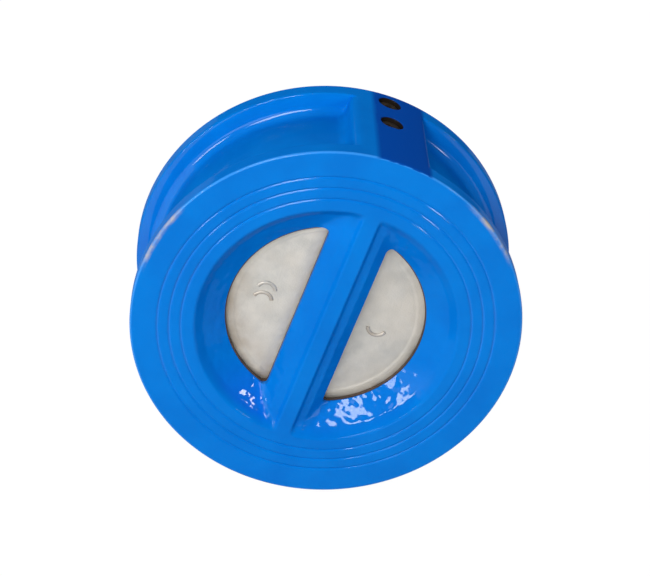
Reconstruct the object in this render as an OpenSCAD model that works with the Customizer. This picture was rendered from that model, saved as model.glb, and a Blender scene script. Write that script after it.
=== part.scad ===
// Wafer check valve with two spring-shut half-moon plates, for clamping between two pipe flanges.
// Flow runs along +Y, from the grooved inlet face to the outlet face.
// The hinge pin and the stop pin stand along Z. The origin is the centre of the body.

/* [Body] */
// Outside diameter of the rims
body_d = 162; // [158:1:172]
// Length from the inlet face to the outlet face
face_to_face = 64; // [62:1:70]
// Thickness of each rim
rim_t = 8; // [6:0.5:10]
// Rounding of the rim edges
rim_round = 1; // [0.4:0.1:1.6]
// Wall between the chamber and the waist
wall_t = 13; // [10:0.5:15]
// Fillet between the waist and each rim
waist_fillet = 4; // [2:0.5:5]
// Width of the boss at each end of the pins
boss_w = 33; // [26:1:38]
// Rounding of the boss's outer edges
boss_round = 3.5; // [1:0.5:5]
// Fillet between the boss and the waist
boss_fillet = 5; // [3:0.5:7]

/* [Inlet] */
// Diameter of the mouth at the inlet face
mouth_d = 110; // [106:1:116]
// Rounding of the mouth edge
mouth_round = 4; // [2:0.5:6]
// Diameter of the port at the seat
port_d = 84; // [78:1:88]
// Depth of the seat behind the inlet face
seat_depth = 13; // [11:0.5:14]
// Width of the bridge at the seat
bridge_w = 24.8; // [20:0.4:28]
// Width of the bridge's ridge at the inlet face
ridge_w = 6.4; // [5:0.2:9]
// Rounding of the ridge's edges
ridge_round = 3; // [1:0.5:4]
// Depth of the ridge below the inlet face
ridge_drop = 0.4; // [0.2:0.1:2]

/* [Gasket faces] */
// Number of grooves in each gasket face
groove_count = 3; // [1:1:3]
// Distance between neighbouring grooves
groove_pitch = 4.85; // [3.5:0.05:5.2]
// Distance of the first groove from the inner edge of its face
groove_start = 5; // [4:0.5:6]
// Radius of the groove's round tool
groove_tool_r = 1; // [0.8:0.1:1.3]
// Depth of the grooves
groove_depth = 0.6; // [0.3:0.1:0.7]

/* [Seat seal] */
// Thickness of the rubber seat
seal_t = 2; // [1.4:0.2:3]
// Height of the rubber above the metal round it
seal_proud = 0.5; // [0.3:0.1:0.8]
// Width of rubber outside the plates' edge
seal_margin = 1; // [0.5:0.5:2]

/* [Plates] */
// Thickness of the plates
plate_t = 8; // [6:0.5:9]
// Overlap of the plates on the seat round the port
seat_overlap = 5; // [4:0.5:6]
// Gap between the straight edges of the two plates
plate_gap = 2; // [1:0.5:4]
// Bevel of the plates' back edge
plate_bevel = 1.2; // [0.6:0.2:2]
// Gap between a shut plate and the rubber
seat_gap = 0.3; // [0.2:0.1:0.6]
// Opening angle of each plate
open_angle = 82; // [76:1:84]
// Radius of the lugs round the hinge pin
lug_r = 9; // [8:0.5:10]
// Thickness of each lug
lug_t = 8; // [6:0.5:9]
// Reach of a lug's foot along the plate
lug_foot = 25; // [23:1:30]
// Run of the lug's flank past its contact with the stop pin
heel_run = 4; // [3:0.5:5]
// Space left round the swinging plates
swing_clearance = 5.9; // [4:0.1:8]

/* [Pins and plugs] */
// Diameter of the hinge pin and the stop pin
pin_d = 8; // [7:0.5:8.5]
// Distance of the hinge pin from the outlet face
hinge_setback = 27; // [26:0.5:30]
// Distance between hinge pin and stop pin
pin_spacing = 19; // [18.5:0.5:21]
// Bevel of the pins' ends
pin_bevel = 0.6; // [0.3:0.1:1]
// Gap between a pin's end and the seal under its plug
pin_end_gap = 0.2; // [0.1:0.1:0.6]
// Diameter of the plugs
plug_d = 9.7; // [9.4:0.1:12]
// Length of the plugs
plug_len = 8; // [6:0.5:9]
// Depth of the plugs below the boss
plug_recess = 2; // [1:0.5:3]
// Size of the plug's hexagon socket across flats
socket_af = 5; // [4:0.5:5.5]
// Depth of the plug's socket
socket_depth = 4; // [3:0.5:5]
// Thickness of the seal under each plug
plug_seal_t = 1.5; // [1:0.1:2]

/* [Bearings] */
// Outside diameter of the thrust washers
bearing_d = 17; // [14:0.5:18]
// Thickness of the thrust washers
bearing_t = 1.5; // [1:0.1:2]

/* [Springs] */
// Diameter of the spring wire
wire_d = 2; // [1.6:0.1:2.2]
// Diameter of the coil at the middle of the wire
coil_d = 12; // [11.5:0.5:13]
// Distance between neighbouring curls
coil_pitch = 2.6; // [2.5:0.05:2.8]
// Whole turns between the two legs
coil_turns = 8; // [5:1:8]
// Distance from the hinge pin to the bend of the plate leg
leg_reach = 25; // [22:1:27]
// Length of the foot that lies along the plate
foot_len = 9; // [5:1:10]
// Run of the other leg past the stop pin
leg_over = 6; // [4:0.5:8]

/* [Fits] */
// Radial clearance of the pins in the body and the lugs on the hinge pin
run_fit = 0.05; // [0.02:0.01:0.1]
// Radial clearance of the plugs in their holes
plug_fit = 0.05; // [0.02:0.01:0.1]
// Gap between neighbours along the hinge pin
side_gap = 0.3; // [0.2:0.1:0.5]
// Gap between the stop pin and the lugs at full opening
stop_gap = 0.3; // [0.2:0.1:0.5]
// Gap between the spring legs and what they press on
leg_gap = 0.3; // [0.2:0.1:0.5]

/* [Hidden] */
$fn = 96;
// Reach of a cutting shape past the surface it cuts
cut = 1;
// Reach of a round shape past an edge that it runs into, so that the two cross cleanly
touch = 0.02;
coil_rings = 8;
wire_sides = 6;
pin_r = pin_d / 2;
plug_r = plug_d / 2;
wire_r = wire_d / 2;
coil_r = coil_d / 2;
body_r = body_d / 2;
mouth_r = mouth_d / 2;
port_r = port_d / 2;
plate_r = port_r + seat_overlap;
seal_r = plate_r + seal_margin;

// Places along the flow
inlet_y = -face_to_face / 2;
outlet_y = face_to_face / 2;
seat_y = inlet_y + seat_depth;
seal_y = seat_y - seal_t;
chamber_y = seat_y - seal_proud;
ridge_y = inlet_y + ridge_drop;
plate_front_y = seat_y + seat_gap;
plate_back_y = plate_front_y + plate_t;
hinge_y = outlet_y - hinge_setback;
stop_y = hinge_y + pin_spacing;
waist_half = face_to_face / 2 - rim_t;

// The chamber clears the swinging plates, and the waist lies one wall outside it
swing_r = norm([plate_r, hinge_y - plate_front_y]);
chamber_r = swing_r + swing_clearance;
waist_r = chamber_r + wall_t;

// The lug's flank leans so that it meets the stop pin at the opening angle
flank_r = lug_r - touch;
flank_turn = acos((flank_r + pin_r + stop_gap) / pin_spacing);
flank_lean = open_angle - flank_turn;
flank_len = pin_spacing * sin(flank_turn) + heel_run;

// The spring's legs, seen along the hinge pin with the pin at the origin
back_rel = plate_back_y - hinge_y;
stop_touch = [-(pin_r + wire_r + leg_gap), pin_spacing];
foot_bend = [-leg_reach, back_rel + wire_r + leg_gap];
foot_tip = foot_bend - [foot_len, 0];
turn_in = atan2(stop_touch.y, stop_touch.x) + acos(coil_r / norm(stop_touch));
turn_out = 360 + atan2(foot_bend.y, foot_bend.x) - acos(coil_r / norm(foot_bend));
coil_sweep = 360 * coil_turns + turn_out - turn_in;
coil_len = coil_pitch * coil_sweep / 360;

// Places along the hinge pin, from the middle outwards
spring_z = bearing_t / 2 + side_gap;
spring_bearing_z = spring_z + coil_len + wire_d + side_gap;
inner_lug_z = spring_bearing_z + bearing_t + side_gap;
plate_bearing_z = inner_lug_z + lug_t + side_gap;
outer_lug_z = plate_bearing_z + bearing_t + side_gap;
body_bearing_z = outer_lug_z + lug_t + side_gap;
pad_z = body_bearing_z + bearing_t;
plug_z = body_r - plug_recess - plug_len;
plug_seal_z = plug_z - plug_seal_t;
pin_half = plug_seal_z - pin_end_gap;

paint_blue = [0.06, 0.46, 0.84];
bare_plate = [0.80, 0.79, 0.76];
bright_steel = [0.72, 0.72, 0.72];
dark_steel = [0.30, 0.27, 0.24];
seat_rubber = [0.16, 0.10, 0.07];
black_rubber = [0.10, 0.10, 0.10];
washer_white = [0.92, 0.91, 0.87];

// Turns a shape that stands along Z so that it lies along the flow
module along_flow() rotate([-90, 0, 0]) children();

// Turns a shape half a turn about the flow, to the other plate's side
module other_side() rotate([0, 180, 0]) children();

// The sliver between two edges that leave p along u and v and the circle that touches both
module corner(p, u, v, r) {
    half = acos(u * v) / 2;
    reach = r / tan(half);
    middle = (u + v) / norm(u + v);
    centre = p + middle * r / sin(half);
    difference() {
        polygon([p - middle * r, p + u * reach, centre, p + v * reach]);
        translate(centre) circle(r + touch);
    }
}

// Round grooves in a gasket face at height y, the first one just outside inner_r
module grooves(y, side, inner_r) {
    for (i = [0 : groove_count - 1])
        translate([inner_r + groove_start + i * groove_pitch, y + side * (groove_tool_r - groove_depth)])
            circle(groove_tool_r);
}

// Half section of the ring before the waist is cut: radius to the right, flow upwards
module ring_section() {
    cone = [port_r - mouth_r, seal_y - inlet_y];
    difference() {
        translate([0, inlet_y]) square([body_r, face_to_face]);
        polygon([
            [0, inlet_y - cut], [mouth_r, inlet_y - cut], [mouth_r, inlet_y],
            [port_r, seal_y], [port_r, chamber_y + cut], [0, chamber_y + cut]
        ]);
        translate([0, seal_y]) square([seal_r, seal_t]);
        translate([0, chamber_y]) square([chamber_r, outlet_y - chamber_y + cut]);
        corner([mouth_r, inlet_y], [1, 0], cone / norm(cone), mouth_round);
        corner([chamber_r, outlet_y], [1, 0], [0, -1], rim_round);
        corner([body_r, inlet_y], [-1, 0], [0, 1], rim_round);
        corner([body_r, outlet_y], [-1, 0], [0, -1], rim_round);
        grooves(inlet_y, -1, mouth_r);
        grooves(outlet_y, 1, chamber_r);
    }
}

// Half section of the hollow between the rims
module waist_section() {
    difference() {
        union() {
            translate([waist_r, -waist_half]) square([body_r - waist_r + cut, 2 * waist_half]);
            corner([body_r, waist_half], [-1, 0], [0, 1], rim_round);
            corner([body_r, -waist_half], [-1, 0], [0, -1], rim_round);
        }
        corner([waist_r, waist_half], [1, 0], [0, -1], waist_fillet);
        corner([waist_r, -waist_half], [1, 0], [0, 1], waist_fillet);
    }
}

// What the rounding takes off a boss's edge: outside a circle that touches the rim and the side
module boss_edge() {
    edge_x = boss_w / 2 - boss_round;
    edge = [edge_x, sqrt(pow(body_r - boss_round, 2) - pow(edge_x, 2))];
    side_x = boss_w / 2 + cut;
    top_y = body_r + 2 * cut;
    difference() {
        polygon([edge, [side_x, edge.y], [side_x, top_y], edge * top_y / norm(edge)]);
        translate(edge) circle(boss_round + touch);
    }
}

// Outline of one boss, seen along the flow, with its round edges and its fillets down to the waist
module boss_section() {
    across = boss_w / 2 + boss_fillet;
    up = sqrt(pow(waist_r + boss_fillet, 2) - pow(across, 2));
    difference() {
        translate([-boss_w / 2, 0]) square([boss_w, body_r + cut]);
        for (m = [0, 1]) mirror([m, 0]) boss_edge();
    }
    for (m = [0, 1]) mirror([m, 0]) difference() {
        polygon([[0, 0], [0, up], [across, up]]);
        translate([across, up]) circle(boss_fillet + touch);
    }
}

// The hollow round the waist, stopped by the two bosses
module waist_hollow() {
    along_flow() difference() {
        rotate_extrude() waist_section();
        for (m = [0, 1]) mirror([0, m, 0])
            linear_extrude(2 * (waist_half + rim_round + cut), center = true) boss_section();
    }
}

// Wedge-shaped bar across the mouth, with its ridge towards the flow
module bridge() {
    flank = [(bridge_w - ridge_w) / 2, seal_y - ridge_y];
    linear_extrude(2 * (mouth_r + cut), center = true) difference() {
        polygon([
            [-bridge_w / 2, seal_y], [bridge_w / 2, seal_y],
            [ridge_w / 2, ridge_y], [-ridge_w / 2, ridge_y]
        ]);
        for (m = [0, 1]) mirror([m, 0])
            corner([ridge_w / 2, ridge_y], [-1, 0], flank / norm(flank), ridge_round);
    }
}

// Pad inside the chamber that carries the end bearing of the hinge pin
module hinge_pad() {
    pad_len = chamber_r + wall_t / 2 - pad_z;
    for (m = [0, 1]) mirror([0, 0, m])
        translate([0, hinge_y, pad_z]) cylinder(r = lug_r, h = pad_len);
}

// Bore of one pin, with the holes for its two plugs
module pin_bore(y) {
    translate([0, y, 0]) {
        cylinder(r = pin_r + run_fit, h = 2 * plug_z, center = true);
        for (m = [0, 1]) mirror([0, 0, m])
            translate([0, 0, plug_seal_z]) cylinder(r = plug_r + plug_fit, h = body_r);
    }
}

module body() {
    color(paint_blue) difference() {
        union() {
            difference() {
                along_flow() rotate_extrude($fn = 180) ring_section();
                waist_hollow();
            }
            bridge();
            hinge_pad();
        }
        pin_bore(hinge_y);
        pin_bore(stop_y);
    }
}

// One of the two half-round openings, on the +X side
module port_outline() {
    intersection() {
        circle(port_r);
        translate([bridge_w / 2, -port_r]) square(2 * port_r);
    }
}

module seat_seal() {
    color(seat_rubber) along_flow() translate([0, 0, seal_y]) linear_extrude(seal_t) difference() {
        circle(seal_r);
        port_outline();
        mirror([1, 0]) port_outline();
    }
}

// Outline of a lug, seen along the hinge pin: eye, flank for the stop pin, foot on the plate
module lug_section() {
    flank_top = flank_r * [-sin(flank_lean), cos(flank_lean)];
    heel = flank_top - flank_len * [cos(flank_lean), sin(flank_lean)];
    foot_inner = [-plate_gap / 2, back_rel - cut];
    eye_turn = atan2(foot_inner.y, foot_inner.x) + acos(flank_r / norm(foot_inner));
    circle(lug_r);
    polygon([
        flank_top, heel, [-lug_foot, back_rel - cut], foot_inner,
        flank_r * [cos(eye_turn), sin(eye_turn)]
    ]);
}

// Half section of the round plate with its bevelled back edge
module disc_section() {
    polygon([
        [0, plate_front_y], [plate_r, plate_front_y], [plate_r, plate_back_y - plate_bevel],
        [plate_r - plate_bevel, plate_back_y], [0, plate_back_y]
    ]);
}

// The plate on the -X side, with its outer lug above and its inner lug below
module plate() {
    color(bare_plate) difference() {
        union() {
            intersection() {
                along_flow() rotate_extrude() disc_section();
                translate([-plate_r - plate_gap / 2, plate_front_y, -plate_r])
                    cube([plate_r, plate_t, 2 * plate_r]);
            }
            intersection() {
                translate([0, hinge_y, 0]) {
                    translate([0, 0, outer_lug_z]) linear_extrude(lug_t) lug_section();
                    translate([0, 0, -inner_lug_z - lug_t]) linear_extrude(lug_t) lug_section();
                }
                along_flow() translate([0, 0, plate_front_y + cut])
                    cylinder(r = plate_r - plate_bevel, h = face_to_face);
            }
        }
        translate([0, hinge_y, 0]) cylinder(r = pin_r + run_fit, h = 2 * plate_r, center = true);
    }
}

module left_plate() plate();
module right_plate() other_side() plate();

// Bevelled pin along Z
module pin(y) {
    color(bright_steel) translate([0, y, 0]) rotate_extrude() polygon([
        [0, -pin_half], [pin_r - pin_bevel, -pin_half], [pin_r, pin_bevel - pin_half],
        [pin_r, pin_half - pin_bevel], [pin_r - pin_bevel, pin_half], [0, pin_half]
    ]);
}

module hinge_pin() pin(hinge_y);
module stop_pin() pin(stop_y);

// Socket plug in the upper hole, or in the lower one with end = 1
module plug(y, end) {
    color(dark_steel) translate([0, y, 0]) mirror([0, 0, end]) translate([0, 0, plug_z]) difference() {
        cylinder(r = plug_r, h = plug_len);
        translate([0, 0, plug_len - socket_depth])
            cylinder(d = socket_af / cos(30), h = socket_depth + cut, $fn = 6);
    }
}

// Sealing disc between a plug and the end of its pin
module plug_seal(y, end) {
    color(black_rubber) translate([0, y, 0]) mirror([0, 0, end])
        translate([0, 0, plug_seal_z]) cylinder(r = plug_r, h = plug_seal_t);
}

module upper_hinge_plug() plug(hinge_y, 0);
module lower_hinge_plug() plug(hinge_y, 1);
module upper_stop_plug() plug(stop_y, 0);
module lower_stop_plug() plug(stop_y, 1);
module upper_hinge_plug_seal() plug_seal(hinge_y, 0);
module lower_hinge_plug_seal() plug_seal(hinge_y, 1);
module upper_stop_plug_seal() plug_seal(stop_y, 0);
module lower_stop_plug_seal() plug_seal(stop_y, 1);

// Thrust washer on the hinge pin that starts at height z
module bearing(z) {
    color(washer_white) translate([0, hinge_y, z]) difference() {
        cylinder(d = bearing_d, h = bearing_t);
        translate([0, 0, -cut]) cylinder(r = pin_r + run_fit, h = bearing_t + 2 * cut);
    }
}

module upper_body_bearing() bearing(body_bearing_z);
module lower_body_bearing() other_side() bearing(body_bearing_z);
module upper_plate_bearing() bearing(plate_bearing_z);
module lower_plate_bearing() other_side() bearing(plate_bearing_z);
module upper_spring_bearing() bearing(spring_bearing_z);
module lower_spring_bearing() other_side() bearing(spring_bearing_z);
module middle_spring_bearing() bearing(-bearing_t / 2);

// Route of the spring wire, with the hinge pin at the origin: from the stop pin's side,
// down the coil, and out to the foot on the plate
function coil_steps() = ceil(coil_sweep / 360 * coil_rings);
function coil_point(k) =
    let (share = k / coil_steps(), turn = turn_in + share * coil_sweep)
    [coil_r * cos(turn), coil_r * sin(turn), spring_z + wire_r + coil_len * (1 - share)];
function wire_route() =
    let (
        coil = [for (k = [0 : coil_steps()]) coil_point(k)],
        first = coil[0],
        last = coil[coil_steps()],
        rise = stop_touch - [first.x, first.y],
        top = stop_touch + leg_over * rise / norm(rise)
    )
    concat(
        [[top.x, top.y, first.z]], coil,
        [[foot_bend.x, foot_bend.y, last.z], [foot_tip.x, foot_tip.y, last.z]]
    );

// Heading of the wire at point i of a route, and its stretch across a bend
function step(p, i) = (p[i + 1] - p[i]) / norm(p[i + 1] - p[i]);
function heading(p, i) =
    i == 0 ? step(p, 0) : i == len(p) - 1 ? step(p, i - 1) :
    let (sum = step(p, i - 1) + step(p, i)) sum / norm(sum);
function stretch(p, i) = i == 0 || i == len(p) - 1 ? 1 : 1 / (heading(p, i) * step(p, i));

// Six points round the wire at point i of a route
function wire_ring(p, i) =
    let (
        along = heading(p, i),
        side = cross(along, [0, 0, 1]) / norm(cross(along, [0, 0, 1])),
        up = cross(side, along)
    )
    [for (s = [0 : wire_sides - 1])
        let (a = 360 * s / wire_sides)
        p[i] + wire_r * (stretch(p, i) * cos(a) * side + sin(a) * up)];

// Least distance between the surfaces of curls that lie at least half a turn apart
function wire_gap(p) = min([
    for (i = [0 : len(p) - 1 - coil_rings / 2], j = [i + coil_rings / 2 : len(p) - 1])
        norm(p[i] - p[j]) - wire_d
]);

module wire() {
    route = wire_route();
    last = len(route) - 1;
    points = [for (i = [0 : last]) each wire_ring(route, i)];
    walls = [
        for (i = [0 : last - 1], s = [0 : wire_sides - 1])
            let (
                a = i * wire_sides + s,
                b = i * wire_sides + (s + 1) % wire_sides
            )
            each [[a, a + wire_sides, b], [b, a + wire_sides, b + wire_sides]]
    ];
    start = [for (s = [1 : wire_sides - 2]) [0, s, s + 1]];
    base = last * wire_sides;
    end = [for (s = [1 : wire_sides - 2]) [base, base + s + 1, base + s]];
    echo(spring_gap_mm = wire_gap(route));
    polyhedron(points, concat(walls, start, end));
}

module spring() color(bright_steel) translate([0, hinge_y, 0]) wire();

module left_spring() spring();
module right_spring() other_side() spring();

body();
seat_seal();
left_plate();
right_plate();
hinge_pin();
stop_pin();
left_spring();
right_spring();
upper_hinge_plug();
lower_hinge_plug();
upper_stop_plug();
lower_stop_plug();
upper_hinge_plug_seal();
lower_hinge_plug_seal();
upper_stop_plug_seal();
lower_stop_plug_seal();
upper_body_bearing();
lower_body_bearing();
upper_plate_bearing();
lower_plate_bearing();
upper_spring_bearing();
lower_spring_bearing();
middle_spring_bearing();
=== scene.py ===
# %% [markdown]
# # A wafer check valve, dressed piece by piece
# The valve is a short painted casting that is clamped between two pipe flanges. Behind a bridge
# across its mouth, two half-moon plates hang on one pin, and springs shut them.
# Every piece here is a surface worked out with numpy. It stands in the place of the CAD node
# of the same name, and all but the springs ride on the same body.

# %% Load the frame
import math

import bmesh
import bpy
import numpy as np
from mathutils import Matrix, Vector


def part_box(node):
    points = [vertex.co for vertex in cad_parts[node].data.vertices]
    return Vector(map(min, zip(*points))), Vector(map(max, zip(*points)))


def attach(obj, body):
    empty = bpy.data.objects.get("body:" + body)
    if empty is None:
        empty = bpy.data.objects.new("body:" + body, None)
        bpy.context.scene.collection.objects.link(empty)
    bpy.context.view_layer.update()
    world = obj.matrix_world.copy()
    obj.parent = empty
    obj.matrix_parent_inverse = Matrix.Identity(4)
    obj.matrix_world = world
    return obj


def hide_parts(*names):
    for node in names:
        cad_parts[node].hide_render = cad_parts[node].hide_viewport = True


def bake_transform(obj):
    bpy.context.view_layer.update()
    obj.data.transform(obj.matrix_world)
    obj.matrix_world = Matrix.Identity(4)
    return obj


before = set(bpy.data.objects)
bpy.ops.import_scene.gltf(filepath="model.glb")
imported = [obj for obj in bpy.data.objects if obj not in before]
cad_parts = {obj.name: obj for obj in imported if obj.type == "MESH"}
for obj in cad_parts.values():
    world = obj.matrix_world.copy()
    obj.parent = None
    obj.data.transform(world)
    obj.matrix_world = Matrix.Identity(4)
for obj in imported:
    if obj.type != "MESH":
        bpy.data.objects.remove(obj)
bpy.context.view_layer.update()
MM = 0.001

# %% [markdown]
# ## Sizes
# Lengths are in millimetres. What a CAD node's box tells is read from the frame, so the pieces
# fit it without any adjusting. The few sizes that a box doesn't tell are named below.

# %% Sizes from the frame


def node_box(name):
    """Lowest and highest corner of a CAD node, in millimetres."""
    low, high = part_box(name)
    return np.array(low) / MM, np.array(high) / MM


body_low, body_high = node_box("body")
seal_low, seal_high = node_box("seat_seal")
plate_low = node_box("left_plate")[0]
pin_low, pin_high = node_box("hinge_pin")
stop_low, stop_high = node_box("stop_pin")
plug_low, plug_high = node_box("upper_hinge_plug")

RIM_R = body_high[0]
INLET_Y, OUTLET_Y = body_low[1], body_high[1]
SEAL_R, SEAL_Y, SEAT_Y = seal_high[0], seal_low[1], seal_high[1]
PLATE_R, PLATE_Y = -plate_low[0], plate_low[1]
PIN_R = (pin_high[0] - pin_low[0]) / 2
HINGE_Y = (pin_low[1] + pin_high[1]) / 2
STOP_Y = (stop_low[1] + stop_high[1]) / 2
PLUG_R = plug_high[0]

RIM_T, RIM_ROUND = 8.0, 1.0
WALL_T, WAIST_FILLET = 13.0, 4.0
BOSS_W, BOSS_FILLET, BOSS_ROUND = 33.0, 5.0, 3.5
MOUTH_R, PORT_R, BRIDGE_W = 55.0, 42.0, 24.8
SWING_CLEARANCE, RUN_FIT, SIDE_GAP = 5.9, 0.05, 0.3
PLATE_T, PLATE_GAP = 8.0, 2.0

CHAMBER_R = math.hypot(PLATE_R, HINGE_Y - PLATE_Y) + SWING_CLEARANCE
WAIST_R = CHAMBER_R + WALL_T
BORE_R = PIN_R + RUN_FIT
print(f"rim radius {RIM_R:.1f}, chamber {CHAMBER_R:.2f}, waist {WAIST_R:.2f}, hinge at y {HINGE_Y:.1f}")

# %% [markdown]
# ## Tools for arrays of points
# A grid of points becomes a patch of faces, and patches that share their edge points become
# one closed skin when those points are welded. This is how a casting can be built from simple
# formulas: each patch is easy, and the weld makes it one solid.

# %% Curves
# Points that lie closer than this count as one.
WELD = 0.002


def arc(centre, radius, start, stop, steps):
    """Points on a circle: centre plus radius times the cosine and sine of an angle in degrees."""
    turn = np.radians(np.linspace(start, stop, steps + 1))
    return np.stack([centre[0] + radius * np.cos(turn), centre[1] + radius * np.sin(turn)], axis=1)


def line(start, stop, steps):
    """Evenly spaced points from start to stop."""
    return np.linspace(start, stop, steps + 1)


def run(*stretches):
    """Several stretches as one curve, without the points that repeat where they meet."""
    points = np.concatenate(stretches)
    fresh = np.linalg.norm(np.diff(points, axis=0), axis=1) > WELD
    return points[np.r_[True, fresh]]


def resample(points, shares):
    """Points of a polyline at given shares of its length."""
    length = np.r_[0, np.cumsum(np.linalg.norm(np.diff(points, axis=0), axis=1))]
    return np.stack([np.interp(shares * length[-1], length, axis) for axis in points.T], axis=1)


# %% Patches of faces


def grid_faces(rows, columns):
    """Faces of a grid whose rows close on themselves: rows by columns by the four corners of a face."""
    i, j = np.meshgrid(np.arange(rows - 1), np.arange(columns), indexing="ij")
    k = (j + 1) % columns
    corners = [i * columns + j, i * columns + k, (i + 1) * columns + k, (i + 1) * columns + j]
    return np.stack(corners, axis=-1)


def loft(loops):
    """A patch through closed loops of equally many points, one loop per row."""
    rows, columns = loops.shape[:2]
    return loops.reshape(-1, 3), grid_faces(rows, columns).reshape(-1, 4)


def fan(loop):
    """A patch of triangles from a closed loop to its middle."""
    count = len(loop)
    k = np.arange(count)
    corners = np.stack([k, (k + 1) % count, np.full(count, count)], axis=1)
    return np.vstack([loop, loop.mean(axis=0)]), corners


def capped(loops):
    """A patch through loops, closed by a fan at both ends."""
    return [loft(loops), fan(loops[0]), fan(loops[-1])]


# %% A tube along a route
TUBE_SIDES = 12


def swept(route, radius, axis):
    """Loops of a circle carried along a route that isn't parallel to an axis.

    At each point the loop is the radius times the cosine of one side plus the sine of another,
    and both sides are square to the route.
    """
    along = np.gradient(route, axis=0)
    side = np.cross(along, axis)
    up = np.cross(side, along)
    side, up = (way[:, None] / np.linalg.norm(way, axis=1)[:, None, None] for way in (side, up))
    turn = np.linspace(0, 2 * math.pi, TUBE_SIDES, endpoint=False)[:, None]
    return route[:, None] + radius * (np.cos(turn) * side + np.sin(turn) * up)


# %% One closed mesh, and a piece in the place of a node
SHARP_ANGLE = 42


def weld_mesh(name, patches):
    """One closed mesh from patches: near points merge, faces turn outwards, steep edges stay sharp."""
    starts = np.cumsum([0] + [len(points) for points, _ in patches])
    points = np.concatenate([points for points, _ in patches]) * MM
    faces = [face for (_, some), start in zip(patches, starts) for face in (some + start).tolist()]
    mesh = bpy.data.meshes.new(name)
    mesh.from_pydata(points, [], faces)
    shell = bmesh.new()
    shell.from_mesh(mesh)
    bmesh.ops.remove_doubles(shell, verts=shell.verts, dist=WELD * MM)
    bmesh.ops.recalc_face_normals(shell, faces=shell.faces)
    open_edges = sum(not edge.is_manifold for edge in shell.edges)
    shell.to_mesh(mesh)
    shell.free()
    mesh.shade_smooth()
    mesh.set_sharp_from_angle(angle=math.radians(SHARP_ANGLE))
    triangles = sum(len(polygon.vertices) - 2 for polygon in mesh.polygons)
    print(f"{name}: {triangles} triangles, {open_edges} open edges")
    return mesh


def add_piece(node, patches, material, body="valve_body"):
    """A finished piece that stands for a CAD node and rides on a body."""
    piece = bpy.data.objects.new(f"{node}_piece", weld_mesh(f"{node}_piece", patches))
    piece.data.materials.append(material)
    bpy.context.scene.collection.objects.link(piece)
    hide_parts(node)
    if body:
        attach(piece, body)
    return piece


# %% [markdown]
# ## Shared surface effects
# Paint, cast steel and rubber all vary a little from place to place. Two node groups hold that
# once: cloudy patches for colour and shine, and a fine grain for the bump. Each material places
# them with its own scale.

# %% Node groups for cloudiness and grain


def add_node(tree, kind, **inputs):
    """A shader node with some of its inputs set by name. A node's output passed in is linked."""
    node = tree.nodes.new(kind)
    for name, value in inputs.items():
        socket = node.inputs[name.replace("_", " ")]
        if isinstance(value, bpy.types.NodeSocket):
            tree.links.new(value, socket)
        else:
            socket.default_value = value
    return node


def noise_group(name, contrast):
    """A group that turns coordinates into noise from 0 to 1, stretched about its middle by contrast."""
    group = bpy.data.node_groups.new(name, "ShaderNodeTree")
    group.interface.new_socket("Coordinates", in_out="INPUT", socket_type="NodeSocketVector")
    group.interface.new_socket("Scale", in_out="INPUT", socket_type="NodeSocketFloat")
    group.interface.new_socket("Detail", in_out="INPUT", socket_type="NodeSocketFloat")
    group.interface.new_socket("Value", in_out="OUTPUT", socket_type="NodeSocketFloat")
    start = group.nodes.new("NodeGroupInput")
    noise = add_node(
        group, "ShaderNodeTexNoise", Vector=start.outputs["Coordinates"],
        Scale=start.outputs["Scale"], Detail=start.outputs["Detail"],
    )
    spread = add_node(group, "ShaderNodeMapRange", Value=noise.outputs["Fac"])
    spread.interpolation_type = "SMOOTHSTEP"
    spread.inputs["From Min"].default_value = 0.5 - 0.5 / contrast
    spread.inputs["From Max"].default_value = 0.5 + 0.5 / contrast
    end = group.nodes.new("NodeGroupOutput")
    group.links.new(spread.outputs["Result"], end.inputs["Value"])
    return group


clouds = noise_group("clouds", contrast=2.4)
grain = noise_group("grain", contrast=1.4)
print("node groups:", clouds.name, grain.name)

# %% A finish under construction


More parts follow.
